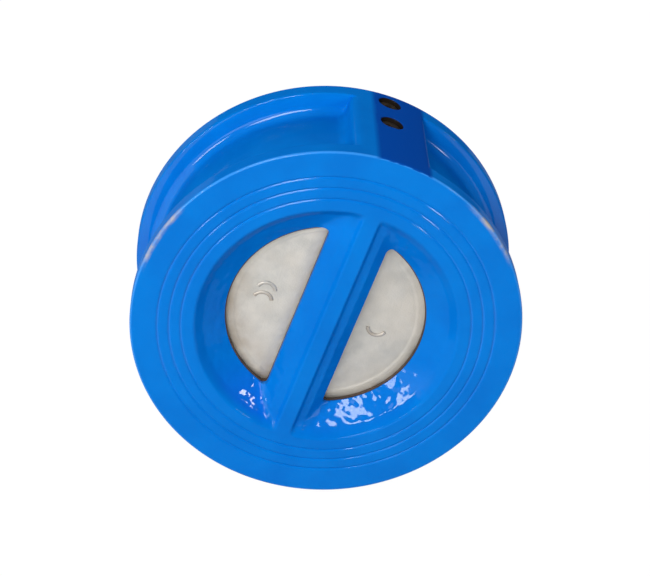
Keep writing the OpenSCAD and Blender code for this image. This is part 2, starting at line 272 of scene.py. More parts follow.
class Finish:
    """A material under construction: its tree, its shader and the object's own coordinates."""

    def __init__(self, name, metallic, roughness_low, roughness_high):
        self.material = bpy.data.materials.new(name)
        self.material.use_nodes = True
        self.tree = self.material.node_tree
        self.shader = self.tree.nodes["Principled BSDF"]
        self.shader.inputs["Metallic"].default_value = metallic
        self.place = self.tree.nodes.new("ShaderNodeTexCoord").outputs["Object"]
        self.roughness = (roughness_low, roughness_high)

    def noise(self, group, scale, detail=2.0, stretch=None):
        """Noise of a group at a scale per metre, with the coordinates stretched if asked."""
        place = self.place
        if stretch:
            mapping = add_node(self.tree, "ShaderNodeMapping", Vector=place, Scale=stretch)
            place = mapping.outputs["Vector"]
        node = self.tree.nodes.new("ShaderNodeGroup")
        node.node_tree = group
        self.tree.links.new(place, node.inputs["Coordinates"])
        node.inputs["Scale"].default_value = scale
        node.inputs["Detail"].default_value = detail
        return node.outputs["Value"]

    def between(self, mask, low, high):
        """A value that goes from low to high with a mask."""
        node = add_node(self.tree, "ShaderNodeMapRange", Value=mask, To_Min=low, To_Max=high)
        return node.outputs["Result"]

    def times(self, one, other):
        """The product of two masks."""
        node = self.tree.nodes.new("ShaderNodeMath")
        node.operation = "MULTIPLY"
        self.tree.links.new(one, node.inputs[0])
        self.tree.links.new(other, node.inputs[1])
        return node.outputs["Value"]

    def mix(self, mask, low, high):
        """A colour between two others, by a mask. A colour is a tuple or another node's output."""
        node = self.tree.nodes.new("ShaderNodeMix")
        node.data_type = "RGBA"
        self.tree.links.new(mask, node.inputs["Factor"])
        for socket, colour in zip((node.inputs[6], node.inputs[7]), (low, high)):
            if isinstance(colour, bpy.types.NodeSocket):
                self.tree.links.new(colour, socket)
            else:
                socket.default_value = (*colour, 1)
        return node.outputs[2]

    def attribute(self, name):
        """A value that the mesh carries at its points."""
        node = self.tree.nodes.new("ShaderNodeAttribute")
        node.attribute_name = name
        return node.outputs["Fac"]

    def done(self, colour, shine, height, depth_mm):
        """Links colour, a mask for roughness and a height map to the shader."""
        links = self.tree.links
        links.new(colour, self.shader.inputs["Base Color"])
        links.new(self.between(shine, *self.roughness), self.shader.inputs["Roughness"])
        bump = add_node(self.tree, "ShaderNodeBump", Height=height, Distance=depth_mm * MM)
        links.new(bump.outputs["Normal"], self.shader.inputs["Normal"])
        print("finish:", self.material.name)
        return self.material


# %% [markdown]
# ## Paint
# The casting is sprayed with glossy blue epoxy. It is a clear strong blue that turns a little
# deeper in patches, and it has the fine skin of sprayed paint. Its rim is rubbed down to a cream
# primer at two places, and that cream also stands in for a highlight on the rim's edge. Other
# colours are painted light and shade: a lighter band on the face's edge is a painted highlight, the
# low side of the cone is darker as pooled paint and painted shade, and most of each boss and the
# bare holes are darker as painted shade. These places are values that the mesh carries, so they
# stay on the rim, the holes and the mouth.
# A noise's scale is its number of patterns per metre, and a depth is in millimetres.

# %% Blue paint
PAINT_BLUE, PAINT_DEEP = (0.001, 0.205, 0.68), (0.001, 0.175, 0.62)
# The light blue is a painted highlight on the inlet face's edge, and the dark blue is painted shade on the
# bosses.
PAINT_EDGE_HIGHLIGHT, PAINT_SHADE = (0.04, 0.30, 0.82), (0.001, 0.074, 0.41)
# A deeper blue in the low side of the cone, partly pooled paint and partly painted shade.
PAINT_POOLED_SHADE = (0.001, 0.145, 0.66)
# The cream is worn primer that also stands in for a highlight on the rim's edge.
PRIMER_CREAM_HIGHLIGHT, BORE_SHADE_BROWN = (0.62, 0.50, 0.36), (0.020, 0.014, 0.010)
PAINT_CLOUDS, PAINT_SHINE, PAINT_SKIN, SKIN_DEPTH = 45, 90, 420, 0.03
# Patches that break up the cream stretches, worn primer that is also a painted highlight.
RUBBED_HIGHLIGHT_PATCHES, RUBBED_HIGHLIGHT_LEAST, RUBBED_HIGHLIGHT_MOST = 260, 0.1, 0.85
COAT_ROUGHNESS = 0.06


def blue_paint():
    """Sprayed paint with cloudy depth, orange-peel grain and rubbed edges, gloss from a clear coat, and
    painted highlights and shade.
    """
    finish = Finish("blue_paint", 0.0, 0.28, 0.40)
    colour = finish.mix(finish.noise(clouds, PAINT_CLOUDS, 3), PAINT_DEEP, PAINT_BLUE)
    # Pooled paint in the cone's low side, darker as partly painted shade.
    colour = finish.mix(finish.attribute("pooled_and_shaded"), colour, PAINT_POOLED_SHADE)
    # A painted highlight: lighter blue on the inlet face's edge.
    colour = finish.mix(finish.attribute("edge_highlight"), colour, PAINT_EDGE_HIGHLIGHT)
    # Cream stretches on the rim: worn primer that also stands in for a highlight on its edge.
    patchy = finish.between(finish.noise(clouds, RUBBED_HIGHLIGHT_PATCHES, 4), RUBBED_HIGHLIGHT_LEAST, RUBBED_HIGHLIGHT_MOST)
    colour = finish.mix(finish.times(finish.attribute("rubbed_highlight"), patchy), colour, PRIMER_CREAM_HIGHLIGHT)
    # Painted shade: darker blue on most of each boss, leaving its left edge lighter.
    colour = finish.mix(finish.attribute("boss_shade"), colour, PAINT_SHADE)
    # Bare drilled holes, near-black as painted shade inside them.
    colour = finish.mix(finish.attribute("drilled_and_shaded"), colour, BORE_SHADE_BROWN)
    finish.tree.links.new(finish.attribute("glossy"), finish.shader.inputs["Coat Weight"])
    finish.shader.inputs["Coat Roughness"].default_value = COAT_ROUGHNESS
    finish.shader.inputs["Specular IOR Level"].default_value = 0.0
    skin = finish.noise(grain, PAINT_SKIN, 2)
    return finish.done(colour, finish.noise(clouds, PAINT_SHINE, 2), skin, SKIN_DEPTH)


paint = blue_paint()

# %% [markdown]
# ## Bare metals, rubber and plastic
# The plates are blasted cast steel, warm and mottled, and stained brown along the seat. The left
# plate is painted lighter and the right darker, as painted light for the lamps that fall more on the
# left. The pins are ground, so their marks run round them, and the springs are drawn wire. The
# plugs are dark with brown sealant in them. The seat and the plug seals are rubber, and the thrust
# washers are a white slippery plastic.

# %% Blasted plates
STEEL_DARK, STEEL_LIGHT = np.array([(0.53, 0.505, 0.455), (0.65, 0.615, 0.55)])
STEEL_WARM, STAIN_BROWN = np.array([(0.74, 0.665, 0.56), (0.42, 0.33, 0.24)])
STEEL_SPOTS, WARM_CLOUDS, WARM_MOST = 150, 45, 0.6
STAIN_PATCHES, STAIN_LEAST, STAIN_MOST = 110, 0.2, 0.8
STEEL_SHINE, BLAST_GRAIN, BLAST_DEPTH = 70, 1400, 0.06
# The left plate is painted lighter and the right darker: painted light, not a difference in the steel.
LEFT_PLATE_LIT, RIGHT_PLATE_SHADED = 1.07, 0.96


def blasted_steel(name, painted_light):
    """Mottled silver with a blasted grain, its colours scaled by painted light. Clouds of two sizes tint
    it warm and cool, then stain it.
    """
    finish = Finish(name, 0.55, 0.42, 0.60)
    spots = finish.noise(clouds, STEEL_SPOTS, 4)
    colour = finish.mix(spots, painted_light * STEEL_DARK, painted_light * STEEL_LIGHT)
    warm = finish.between(finish.noise(clouds, WARM_CLOUDS, 3), 0.0, WARM_MOST)
    colour = finish.mix(warm, colour, painted_light * STEEL_WARM)
    patchy = finish.between(finish.noise(clouds, STAIN_PATCHES, 4), STAIN_LEAST, STAIN_MOST)
    colour = finish.mix(finish.times(finish.attribute("stained"), patchy), colour, STAIN_BROWN)
    shine = finish.noise(clouds, STEEL_SHINE, 2)
    return finish.done(colour, shine, finish.noise(grain, BLAST_GRAIN, 3), BLAST_DEPTH)


# The same steel twice: a lit copy for the left plate and a shaded copy for the right, as painted light.
left_steel_lit = blasted_steel("left_plate_steel_lit", LEFT_PLATE_LIT)
right_steel_shaded = blasted_steel("right_plate_steel_shaded", RIGHT_PLATE_SHADED)

# %% Ground pins, drawn wire, plugs and mouldings
FINE_MARKS, MARK_DEPTH = 900, 0.01
ROUND_THE_PIN, EVEN = (0.4, 0.4, 2.5), (1.0, 1.0, 1.0)
PLUG_DARK, SEALANT_BROWN = (0.035, 0.027, 0.022), (0.10, 0.055, 0.025)
SEALANT_PATCHES, PLUG_GRAIN, PLUG_DEPTH = 300, 1500, 0.08
MOULD_GRAIN, MOULD_DEPTH, MOULD_SPREAD = 1800, 0.03, 0.1


def ground_steel(name, dark, light, stretch):
    """Bright steel whose fine marks are noise, stretched where the marks have a direction."""
    finish = Finish(name, 1.0, 0.36, 0.52)
    marks = finish.noise(grain, FINE_MARKS, 3, stretch)
    return finish.done(finish.mix(marks, dark, light), marks, marks, MARK_DEPTH)


def sealed_plug():
    """Dark oxidised steel with patches of brown thread sealant."""
    finish = Finish("sealed_plug", 0.4, 0.35, 0.65)
    sealant = finish.noise(clouds, SEALANT_PATCHES, 4)
    colour = finish.mix(sealant, PLUG_DARK, SEALANT_BROWN)
    return finish.done(colour, sealant, finish.noise(grain, PLUG_GRAIN, 3), PLUG_DEPTH)


def plain_moulding(name, dark, light, roughness, scale):
    """Rubber or plastic: two close shades in clouds and a fine moulded grain."""
    finish = Finish(name, 0.0, roughness - MOULD_SPREAD, roughness + MOULD_SPREAD)
    colour = finish.mix(finish.noise(clouds, scale, 3), dark, light)
    shine = finish.noise(clouds, 2 * scale, 2)
    return finish.done(colour, shine, finish.noise(grain, MOULD_GRAIN, 2), MOULD_DEPTH)


pin_steel = ground_steel("ground_steel", (0.36, 0.36, 0.37), (0.50, 0.50, 0.50), ROUND_THE_PIN)
wire_steel = ground_steel("drawn_wire", (0.34, 0.34, 0.35), (0.50, 0.49, 0.48), EVEN)
plug_finish = sealed_plug()
seat_rubber = plain_moulding("brown_rubber", (0.050, 0.026, 0.014), (0.090, 0.050, 0.026), 0.55, 150)
seal_rubber = plain_moulding("black_rubber", (0.012, 0.012, 0.012), (0.030, 0.030, 0.030), 0.6, 200)
washer_white = plain_moulding("white_washer", (0.70, 0.69, 0.64), (0.80, 0.79, 0.75), 0.45, 120)

# %% [markdown]
# ## The casting, outside
# The casting is a ring: faces, rims, waist and chamber are one profile carried round the flow
# axis. It could be a Screw modifier, but the two bosses break the waist, so here the radius of
# each grid point is a function of the angle and of the place along the profile.

# %% Columns round the ring
BOSS_SIDE = BOSS_W / 2
COLUMN_STEPS, NEAR_ZERO = [11, 4, 3, 8, 48], 0.01
edge_mid = np.array([BOSS_SIDE - BOSS_ROUND, 0.0])
edge_mid[1] = math.sqrt((RIM_R - BOSS_ROUND) ** 2 - edge_mid[0] ** 2)
fillet_mid = np.array([BOSS_SIDE + BOSS_FILLET, 0.0])
fillet_mid[1] = math.sqrt((WAIST_R + BOSS_FILLET) ** 2 - fillet_mid[0] ** 2)
breaks = [
    0.0, math.atan2(*edge_mid), math.atan2(BOSS_SIDE, edge_mid[1]),
    math.atan2(BOSS_SIDE, fillet_mid[1]), math.atan2(*fillet_mid), math.pi / 2,
]
stretches = [np.linspace(a, b, n + 1) for a, b, n in zip(breaks, breaks[1:], COLUMN_STEPS)]
quarter = np.unique(np.concatenate(stretches))
half_turn = np.r_[quarter, math.pi - quarter[-2::-1]]
turns = np.r_[half_turn, 2 * math.pi - half_turn[-2:0:-1]]
print("columns round the ring:", len(turns))


def boss_radius(turn):
    """Outline of a boss: the rim's circle, an edge arc, a straight side and a fillet.

    On the arcs, a ray from the axis meets a circle: its length is the circle's centre along the
    ray, plus or minus the root of radius squared less the centre's offset squared.
    """
    ray = np.stack([np.abs(np.sin(turn)), np.abs(np.cos(turn))])
    angle = np.arctan2(ray[0], ray[1])

    def on_circle(centre, radius, sign):
        along = centre @ ray
        return along + sign * np.sqrt(np.maximum(radius**2 - centre @ centre + along**2, 0))

    side = BOSS_SIDE / np.maximum(ray[0], NEAR_ZERO)
    return np.select(
        [angle <= breaks[1], angle <= breaks[2], angle <= breaks[3], angle <= breaks[4]],
        [RIM_R, on_circle(edge_mid, BOSS_ROUND, 1), side, on_circle(fillet_mid, BOSS_FILLET, -1)],
        WAIST_R,
    )


# %% Profile of the ring
GROOVES, GROOVE_PITCH, GROOVE_START = 3, 4.85, 5.0
GROOVE_DEPTH, GROOVE_WIDTH = 0.40, 0.42
EDGE_ROW = 1.2
FACE_IN_R = MOUTH_R + 2
RECESS_R, RECESS_BEVEL = SEAL_R - 1.5, 0.4
CHAMBER_FILLET, SEAT_LIFT = 2.0, 0.5
GROOVE_ROWS = np.array([-1.4, -0.9, -0.6, -0.4, -0.2, 0.0, 0.2, 0.4, 0.6, 0.9, 1.4])


def gasket_face(inner_r, low_r, high_r, y, inwards):
    """Rows of a grooved face: at each groove the face dips by a bell curve of the distance to it."""
    centres = inner_r + GROOVE_START + GROOVE_PITCH * np.arange(GROOVES)
    radius = np.unique(np.r_[low_r, (centres[:, None] + GROOVE_ROWS).ravel(), high_r - EDGE_ROW, high_r])
    dip = np.exp(-(((radius - centres[:, None]) / GROOVE_WIDTH) ** 2)).sum(axis=0)
    return np.stack([radius, y + inwards * GROOVE_DEPTH * dip], axis=1)


def rim_rows():
    """From the face's edge over the rim and down to the middle of the waist, for the inlet side."""
    rim_in = RIM_R - RIM_ROUND
    waist_end = INLET_Y + RIM_T
    return run(
        arc((rim_in, INLET_Y + RIM_ROUND), RIM_ROUND, -90, 0, 6),
        line((RIM_R, INLET_Y + RIM_ROUND), (RIM_R, waist_end - RIM_ROUND), 8),
        arc((rim_in, waist_end - RIM_ROUND), RIM_ROUND, 0, 75, 5),
        arc((WAIST_R + WAIST_FILLET, waist_end + WAIST_FILLET), WAIST_FILLET, -82, -180, 8),
        line((WAIST_R, waist_end + WAIST_FILLET), (WAIST_R, 0), 10),
    )


flip_y = np.array([1.0, -1.0])
chamber_floor = SEAT_Y - SEAT_LIFT
fillet_top = chamber_floor + CHAMBER_FILLET
profile = run(
    gasket_face(MOUTH_R, FACE_IN_R, RIM_R - RIM_ROUND, INLET_Y, 1),
    rim_rows(),
    (rim_rows() * flip_y)[::-1],
    gasket_face(CHAMBER_R, CHAMBER_R + RIM_ROUND, RIM_R - RIM_ROUND, OUTLET_Y, -1)[::-1],
    arc((CHAMBER_R + RIM_ROUND, OUTLET_Y - RIM_ROUND), RIM_ROUND, 90, 180, 5),
    line((CHAMBER_R, OUTLET_Y - RIM_ROUND), (CHAMBER_R, fillet_top), 34),
    arc((CHAMBER_R - CHAMBER_FILLET, fillet_top), CHAMBER_FILLET, 0, -90, 5),
    line((SEAL_R + RECESS_BEVEL, chamber_floor), (SEAL_R, chamber_floor - RECESS_BEVEL), 1),
    line((SEAL_R, SEAL_Y), (RECESS_R, SEAL_Y), 2),
)
print("rows along the profile:", len(profile))

# %% [markdown]
# The boss is added to the waist as a height over the waist's floor. The two heights join like
# the sides of a triangle, but with the third power, so that the corner between boss and rim is
# filled smoothly and each stays exact where the other is zero.

# %% The ring as a grid
BLEND_POWER = 3


def ring_grid():
    """Points of the ring: profile rows by columns. Between the rims the boss joins the radius."""
    radius = np.repeat(profile[:, :1], len(turns), axis=1)
    y = np.repeat(profile[:, 1:], len(turns), axis=1)
    outer = (profile[:, 0] >= WAIST_R - WELD) & (np.abs(profile[:, 1]) <= OUTLET_Y - RIM_ROUND + WELD)
    over = radius[outer] - WAIST_R
    boss = np.broadcast_to(boss_radius(turns) - WAIST_R, over.shape)
    joined = (np.abs(over) ** BLEND_POWER + np.abs(boss) ** BLEND_POWER) ** (1 / BLEND_POWER)
    radius[outer] = np.minimum(RIM_R, WAIST_R + joined)
    return np.stack([radius * np.sin(turns), y, radius * np.cos(turns)], axis=-1)


ring = ring_grid()
ring_faces = grid_faces(*ring.shape[:2])
print("ring grid:", ring.shape[0], "by", ring.shape[1])

# %% [markdown]
# ## Pin holes
# Two plugged holes enter each boss, and inside the chamber a pad carries the hinge pin. A
# boolean cut would leave ragged faces, so a rectangle of the grid is taken out instead, and
# rings lead from its edge to the round hole and down through the wall.

# %% A gap in the grid
kept_faces = np.ones(ring_faces.shape[:2], bool)


def take_out(low_y, high_y, half_width, wall_r, end):
    """Takes a rectangle out of the ring's faces and returns the points round it, in order."""
    wall = np.abs(np.hypot(ring[:, 0, 0], ring[:, 0, 2]) - wall_r) < WELD
    rows = np.flatnonzero(wall & (ring[:, 0, 1] > low_y - WELD) & (ring[:, 0, 1] < high_y + WELD))
    reach = np.count_nonzero(quarter * wall_r <= half_width)
    first, last = rows.min(), rows.max()
    middle = 0 if end > 0 else len(half_turn) - 1
    columns = np.arange(middle - reach, middle + reach + 1) % len(turns)
    kept_faces[first:last, columns[:-1]] = False
    return np.concatenate([
        ring[first, columns[:-1]], ring[first:last, columns[-1]],
        ring[last, columns[:0:-1]], ring[last:first:-1, columns[0]],
    ])


# %% Rings from a gap to a hole
GAP_RINGS = 3


def round_hole(loop, centre_y, wall_r, end, near_wall, levels):
    """Loops from a gap's edge to a circle on the wall, then off the wall, then at fixed heights.

    Each loop is a radius times the cosine and sine of the gap's own angles, evened out by half.
    """
    across, along = loop[:, 0], loop[:, 1] - centre_y
    turn = np.unwrap(np.arctan2(along, across))
    even = turn[0] + np.sign(turn[-1] - turn[0]) * 2 * math.pi * np.arange(len(turn)) / len(turn)
    circle = np.stack([np.cos((turn + even) / 2), np.sin((turn + even) / 2)])
    edge, first = np.stack([across, along]), near_wall[0][0] * circle
    plans = [(1 - share) * edge + share * first for share in np.linspace(0, 1, GAP_RINGS + 1)]
    heights = [np.sqrt(wall_r**2 - plan[0] ** 2) for plan in plans]
    for radius, offset in near_wall[1:]:
        plans.append(radius * circle)
        heights.append(np.sqrt(wall_r**2 - plans[-1][0] ** 2) + offset)
    for radius, level in levels:
        plans.append(radius * circle)
        heights.append(np.full(len(turn), level))
    return np.stack([
        np.stack([plan[0], plan[1] + centre_y, end * height], axis=1)
        for plan, height in zip(plans, heights)
    ])


# %% Triangles between two rings


def zipper(inner, outer, centre_y):
    """Triangles between two rings: in order of angle, each point joins the last of both rings."""
    rings, angles = [], []
    for points in (inner, outer):
        angle = np.arctan2(points[:, 1] - centre_y, points[:, 0])
        order = np.argsort(angle)
        rings.append(points[order])
        angles.append(angle[order])
    from_outer = np.argsort(np.concatenate(angles), kind="stable") >= len(inner)
    last_in = (np.cumsum(~from_outer) - 1) % len(inner)
    last_out = (np.cumsum(from_outer) - 1) % len(outer)
    third = np.where(from_outer, len(inner) + (last_out - 1) % len(outer), (last_in - 1) % len(inner))
    return np.vstack(rings), np.stack([last_in, len(inner) + last_out, third], axis=1)


# %% The four pin holes
PLUG_HOLE_R = PLUG_R + RUN_FIT
SHOULDER_Z = node_box("upper_hinge_plug_seal")[0][2]
PAD_Z = node_box("upper_body_bearing")[1][2]
HOLE_REACH, PAD_REACH, BORE_REACH = 6.3, 12.0, 6.0
EDGE, PAD_R, PAD_FILLET, PAD_ROUND = 0.5, 9.0, 2.2, 0.8
hole_patches = []
for end in (1, -1):
    for pin_y, padded in ((HINGE_Y, True), (STOP_Y, False)):
        gap = take_out(pin_y - HOLE_REACH, pin_y + HOLE_REACH, HOLE_REACH, RIM_R, end)
        outside = round_hole(
            gap, pin_y, RIM_R, end,
            [(PLUG_HOLE_R + EDGE, 0), (PLUG_HOLE_R + EDGE / 3, -EDGE / 3), (PLUG_HOLE_R, -EDGE)],
            [(PLUG_HOLE_R, SHOULDER_Z)],
        )
        reach = PAD_REACH if padded else BORE_REACH
        gap = take_out(pin_y - reach, pin_y + reach, reach, CHAMBER_R, end)
        bore = [(BORE_R, SHOULDER_Z)]
        if padded:
            near_wall = arc((PAD_R + PAD_FILLET, -PAD_FILLET), PAD_FILLET, 90, 180, 4)
            levels = [*arc((PAD_R - PAD_ROUND, PAD_Z + PAD_ROUND), PAD_ROUND, 0, -90, 3)]
            levels += [(BORE_R + EDGE, PAD_Z), (BORE_R, PAD_Z + EDGE)]
        else:
            near_wall = [(BORE_R + EDGE, 0), (BORE_R, EDGE)]
            levels = []
        inside = round_hole(gap, pin_y, CHAMBER_R, end, near_wall, levels + bore)
        hole_patches += [loft(outside), loft(inside), zipper(inside[-1], outside[-1], pin_y)]
print("patches for the pin holes:", len(hole_patches))

# %% [markdown]
# ## The mouth and its bridge
# Seen from the inlet, the mouth is a landscape: a cone that falls to two half-moon ports, and a
# wedge-shaped bridge between them. A landscape is a height over a plan, so cone and bridge are
# two height functions. A soft minimum fills the valley between them, a soft maximum rounds the
# edges, and low waves give the lumps of a thickly painted casting. The paint ran and pooled at the
# side that hung lowest, so the lumps are higher there.

# %% Soft joins, steps and lumps
LUMP_COUNT, LUMP_SPAN, EASE_SAMPLES = 40, (2.8, 7.0), 9


def soft_min(a, b, size):
    """The lower of two heights, less a quarter of size times the square of how nearly they meet."""
    near = np.maximum(size - np.abs(a - b), 0) / size
    return np.minimum(a, b) - near * near * size / 4


def soft_max(a, b, size):
    """The higher of two heights, rounded where they meet."""
    return -soft_min(-a, -b, size)


def smooth_step(value, low, high):
    """Rises smoothly from 0 at low to 1 at high."""
    t = np.clip((value - low) / (high - low), 0, 1)
    return t * t * (3 - 2 * t)


def lumps(x, z, seed):
    """Sum of plane waves with seeded directions, lengths and phases."""
    draw = np.random.default_rng(seed)
    heading = draw.uniform(0, 2 * math.pi, LUMP_COUNT)
    number = 2 * math.pi / draw.uniform(*LUMP_SPAN, LUMP_COUNT)
    phase = draw.uniform(0, 2 * math.pi, LUMP_COUNT)
    along = x[..., None] * np.cos(heading) + z[..., None] * np.sin(heading)
    return np.sin(along * number + phase).sum(axis=-1) / math.sqrt(LUMP_COUNT)


def eased(away, stops, falls):
    """Straight stretches of a fall between stops, averaged over 1 mm, which rounds the corners."""
    around = away[..., None] + np.linspace(-0.5, 0.5, EASE_SAMPLES)
    return np.interp(around, stops, falls).mean(axis=-1)


# %% Height of the mouth
RIDGE_W, RIDGE_DROP = 6.4, 0.4
BRIDGE_AWAY = [RIDGE_W / 2, 4.5, 8.0, BRIDGE_W / 2, BRIDGE_W]
BRIDGE_FALL = [0, 2.3, 3.5, 7.6, 21.0]
CONE_AWAY = [-3.0, 0.4, 3.9, MOUTH_R - PORT_R, MOUTH_R]
CONE_FALL = [-3.6, 0, 4.1, 10.6, 43.0]
VALLEY, ROUNDING, LUMP_HEIGHT, LUMP_SEED = 4.5, 0.9, 0.07, 7
INSET_START, INSET_FULL = 0.5, 4.0
POOL_AND_SHADE_SPAN = (15.0, 40.0)
PHOTO_TURN = math.radians(19.3)
print(f"the bridge falls {BRIDGE_FALL[-2]} to the ports, the cone falls {CONE_FALL[-2]}")


def upward(x, z):
    """Height over the flow axis while the valve hung, turned as the photograph shows it."""
    return z * math.cos(PHOTO_TURN) - x * math.sin(PHOTO_TURN)


# This low side carries the pooled lumps and gloss, and a darker blue that is partly painted shade.
def pooled_and_shaded(x, z):
    """1 at the lower side of the mouth as the valve hung for painting, and 0 at the upper side."""
    return smooth_step(-upward(x, z), *POOL_AND_SHADE_SPAN)


def cone_height(x, z):
    """How far along the flow the cone alone would lie."""
    return INLET_Y + eased(MOUTH_R - np.hypot(x, z), CONE_AWAY, CONE_FALL)


def bridge_height(x):
    """How far along the flow the bridge alone would lie."""
    return INLET_Y + RIDGE_DROP + eased(np.abs(x), BRIDGE_AWAY, BRIDGE_FALL)


def mouth_height(x, z):
    """How far along the flow the painted mouth lies at a point of the plan."""
    valley = soft_min(cone_height(x, z), bridge_height(x), VALLEY)
    height = soft_max(valley, np.full_like(x, INLET_Y), ROUNDING)
    inside = smooth_step(height - INLET_Y, INSET_START, INSET_FULL)
    return height + LUMP_HEIGHT * lumps(x, z, LUMP_SEED) * inside * (1 + pooled_and_shaded(x, z))


# %% [markdown]
# A half-moon outline is an arc, a straight edge and two rounded corners. Rings that shrink from
# the mouth's half circle and the bridge's ridge line to this outline cover half of the mouth.
# The same rings, at other sizes, make the floor behind, the rubber seat and the plates.

# %% Half-moon outlines
PORT_CORNER, CORNER_STEPS, MOON_STEPS, EDGE_POINTS = 2.0, 8, 96, 98
arc_shares = half_turn / math.pi
edge_shares = np.linspace(0, 1, EDGE_POINTS)
print("points round a half-moon:", len(arc_shares) + EDGE_POINTS - 2)


def half_moon(radius, edge, corner):
    """Closed outline on the +X side: round the arc from top to bottom, then up the straight edge."""
    mid_x = edge + corner
    mid_z = math.sqrt((radius - corner) ** 2 - mid_x**2)
    turn = math.degrees(math.atan2(mid_z, mid_x))
    middle = (turn + 180) / 2
    rounded = run(
        arc((mid_x, mid_z), corner, middle, turn, CORNER_STEPS),
        arc((0, 0), radius, turn, -turn, MOON_STEPS),
        arc((mid_x, -mid_z), corner, -turn, -middle, CORNER_STEPS),
    )
    straight = run(
        arc((mid_x, -mid_z), corner, -middle, -180, CORNER_STEPS),
        arc((mid_x, mid_z), corner, 180, middle, CORNER_STEPS),
    )
    return np.concatenate([resample(rounded, arc_shares), resample(straight, edge_shares)[1:-1]])


def half_disc(radius):
    """Half circle on the +X side and its diameter, with points that match a half-moon's."""
    rounded = radius * np.stack([np.sin(half_turn), np.cos(half_turn)], axis=1)
    straight = line((0, -radius), (0, radius), EDGE_POINTS - 1)[1:-1]
    return np.concatenate([rounded, straight])


def between_loops(outer, inner, rings):
    """Plan loops that go evenly from one loop to another."""
    share = np.linspace(0, 1, rings + 1)[:, None, None]
    return (1 - share) * outer + share * inner


def lifted(plan, y, side):
    """Loops in space from plan loops, on the side given, at heights y."""
    return np.stack([side * plan[..., 0], np.broadcast_to(y, plan.shape[:-1]), plan[..., 1]], axis=-1)


# %% The casting as one piece
MOUTH_RINGS, BACK_RINGS = 48, 4
port = half_moon(PORT_R, BRIDGE_W / 2, PORT_CORNER)
body_patches = [(ring.reshape(-1, 3), ring_faces[kept_faces])] + hole_patches
for side in (1, -1):
    plan = between_loops(half_disc(FACE_IN_R), port, MOUTH_RINGS)
    mouth = lifted(plan, mouth_height(side * plan[..., 0], plan[..., 1]), side)
    port_back = lifted(port[None], SEAL_Y, side)
    body_patches.append(loft(np.concatenate([mouth, port_back])))
    recess = between_loops(half_disc(RECESS_R), port, BACK_RINGS)
    body_patches.append(loft(lifted(recess, SEAL_Y, side)))
body = add_piece("body", body_patches, paint)

# %% [markdown]
# ## What the paint reads
# A value at each point of the mesh tells the paint what it is like there. The rim is rubbed to the
# primer along two short stretches, and this cream also stands in for a highlight on the rim's edge.
# The holes are drilled and bare, and near-black as painted shade. A lighter band on the inlet
# face's edge is a painted highlight. The cone is darker where the paint pooled, most of all left of
# the bridge, and this is partly painted shade. Most of a boss is darker blue, as painted shade.
# Textures could do this, but values on the mesh stay exactly on the edges and holes that they
# belong to.

# %% Rubbed highlight, shaded holes, edge highlight, pooled shade and boss shade
# Where the rim is rubbed to cream primer, which also stands in for a highlight on its edge.
RUBBED_HIGHLIGHT_TURNS = np.radians([-77.0, 37.0])
RUBBED_HIGHLIGHT_CORE, RUBBED_HIGHLIGHT_REACH = np.radians([5.0, 13.0])
RUBBED_HIGHLIGHT_EDGE, RUBBED_HIGHLIGHT_BAND = 0.5 * RIM_ROUND, 1.3 * RIM_ROUND
# The band on the face's edge that gets a painted highlight.
EDGE_HIGHLIGHT_CORE, EDGE_HIGHLIGHT_BAND = 0.2 * RIM_ROUND, 0.75 * RIM_ROUND
# Where each boss gets painted shade.
SHADE_FROM, SHADE_EDGE = -8.5, 2.0
# The pooled blue, partly painted shade, is strongest left of the bridge.
VALLEY_EDGE, POOLED_SHADE_LEFT, POOLED_SHADE_RIGHT = 0.6, 1.0, 0.2
MARGIN = 1.0


def points_of(piece):
    """X, Y and Z of a piece's mesh points, in millimetres."""
    points = np.zeros(len(piece.data.vertices) * 3)
    piece.data.vertices.foreach_get("co", points)
    return points.reshape(-1, 3).T / MM


def close(gap, inner, outer):
    """1 where a gap is below inner, 0 where it is above outer, and smooth between them."""
    return 1 - smooth_step(gap, inner, outer)


x, y, z = points_of(body)
radius = np.hypot(x, z)
turn_gap = np.abs(np.angle(np.exp(1j * (np.arctan2(x, z) - RUBBED_HIGHLIGHT_TURNS[:, None])))).min(axis=0)
hole_gap = np.minimum(np.hypot(x, y - HINGE_Y), np.hypot(x, y - STOP_Y))
edge_cut = RIM_ROUND * (1 - math.sqrt(0.5))
edge_gap = np.hypot(radius - (RIM_R - edge_cut), y - (INLET_Y + edge_cut))
along_boss = x * np.sign(z)
boss_shade = smooth_step(along_boss, SHADE_FROM, SHADE_FROM + SHADE_EDGE)
boss_shade = boss_shade * close(along_boss, BOSS_SIDE - SHADE_EDGE, BOSS_SIDE)
in_mouth = (radius < MOUTH_R - MARGIN) * (y < SEAL_Y)
cone_lead = bridge_height(x) - cone_height(x, z)
pool_and_shade = in_mouth * pooled_and_shaded(x, z) * smooth_step(y - INLET_Y, INSET_START, INSET_FULL)
thick_and_shaded = np.where(x < 0, POOLED_SHADE_LEFT, POOLED_SHADE_RIGHT) * smooth_step(cone_lead, -VALLEY_EDGE, VALLEY_EDGE)
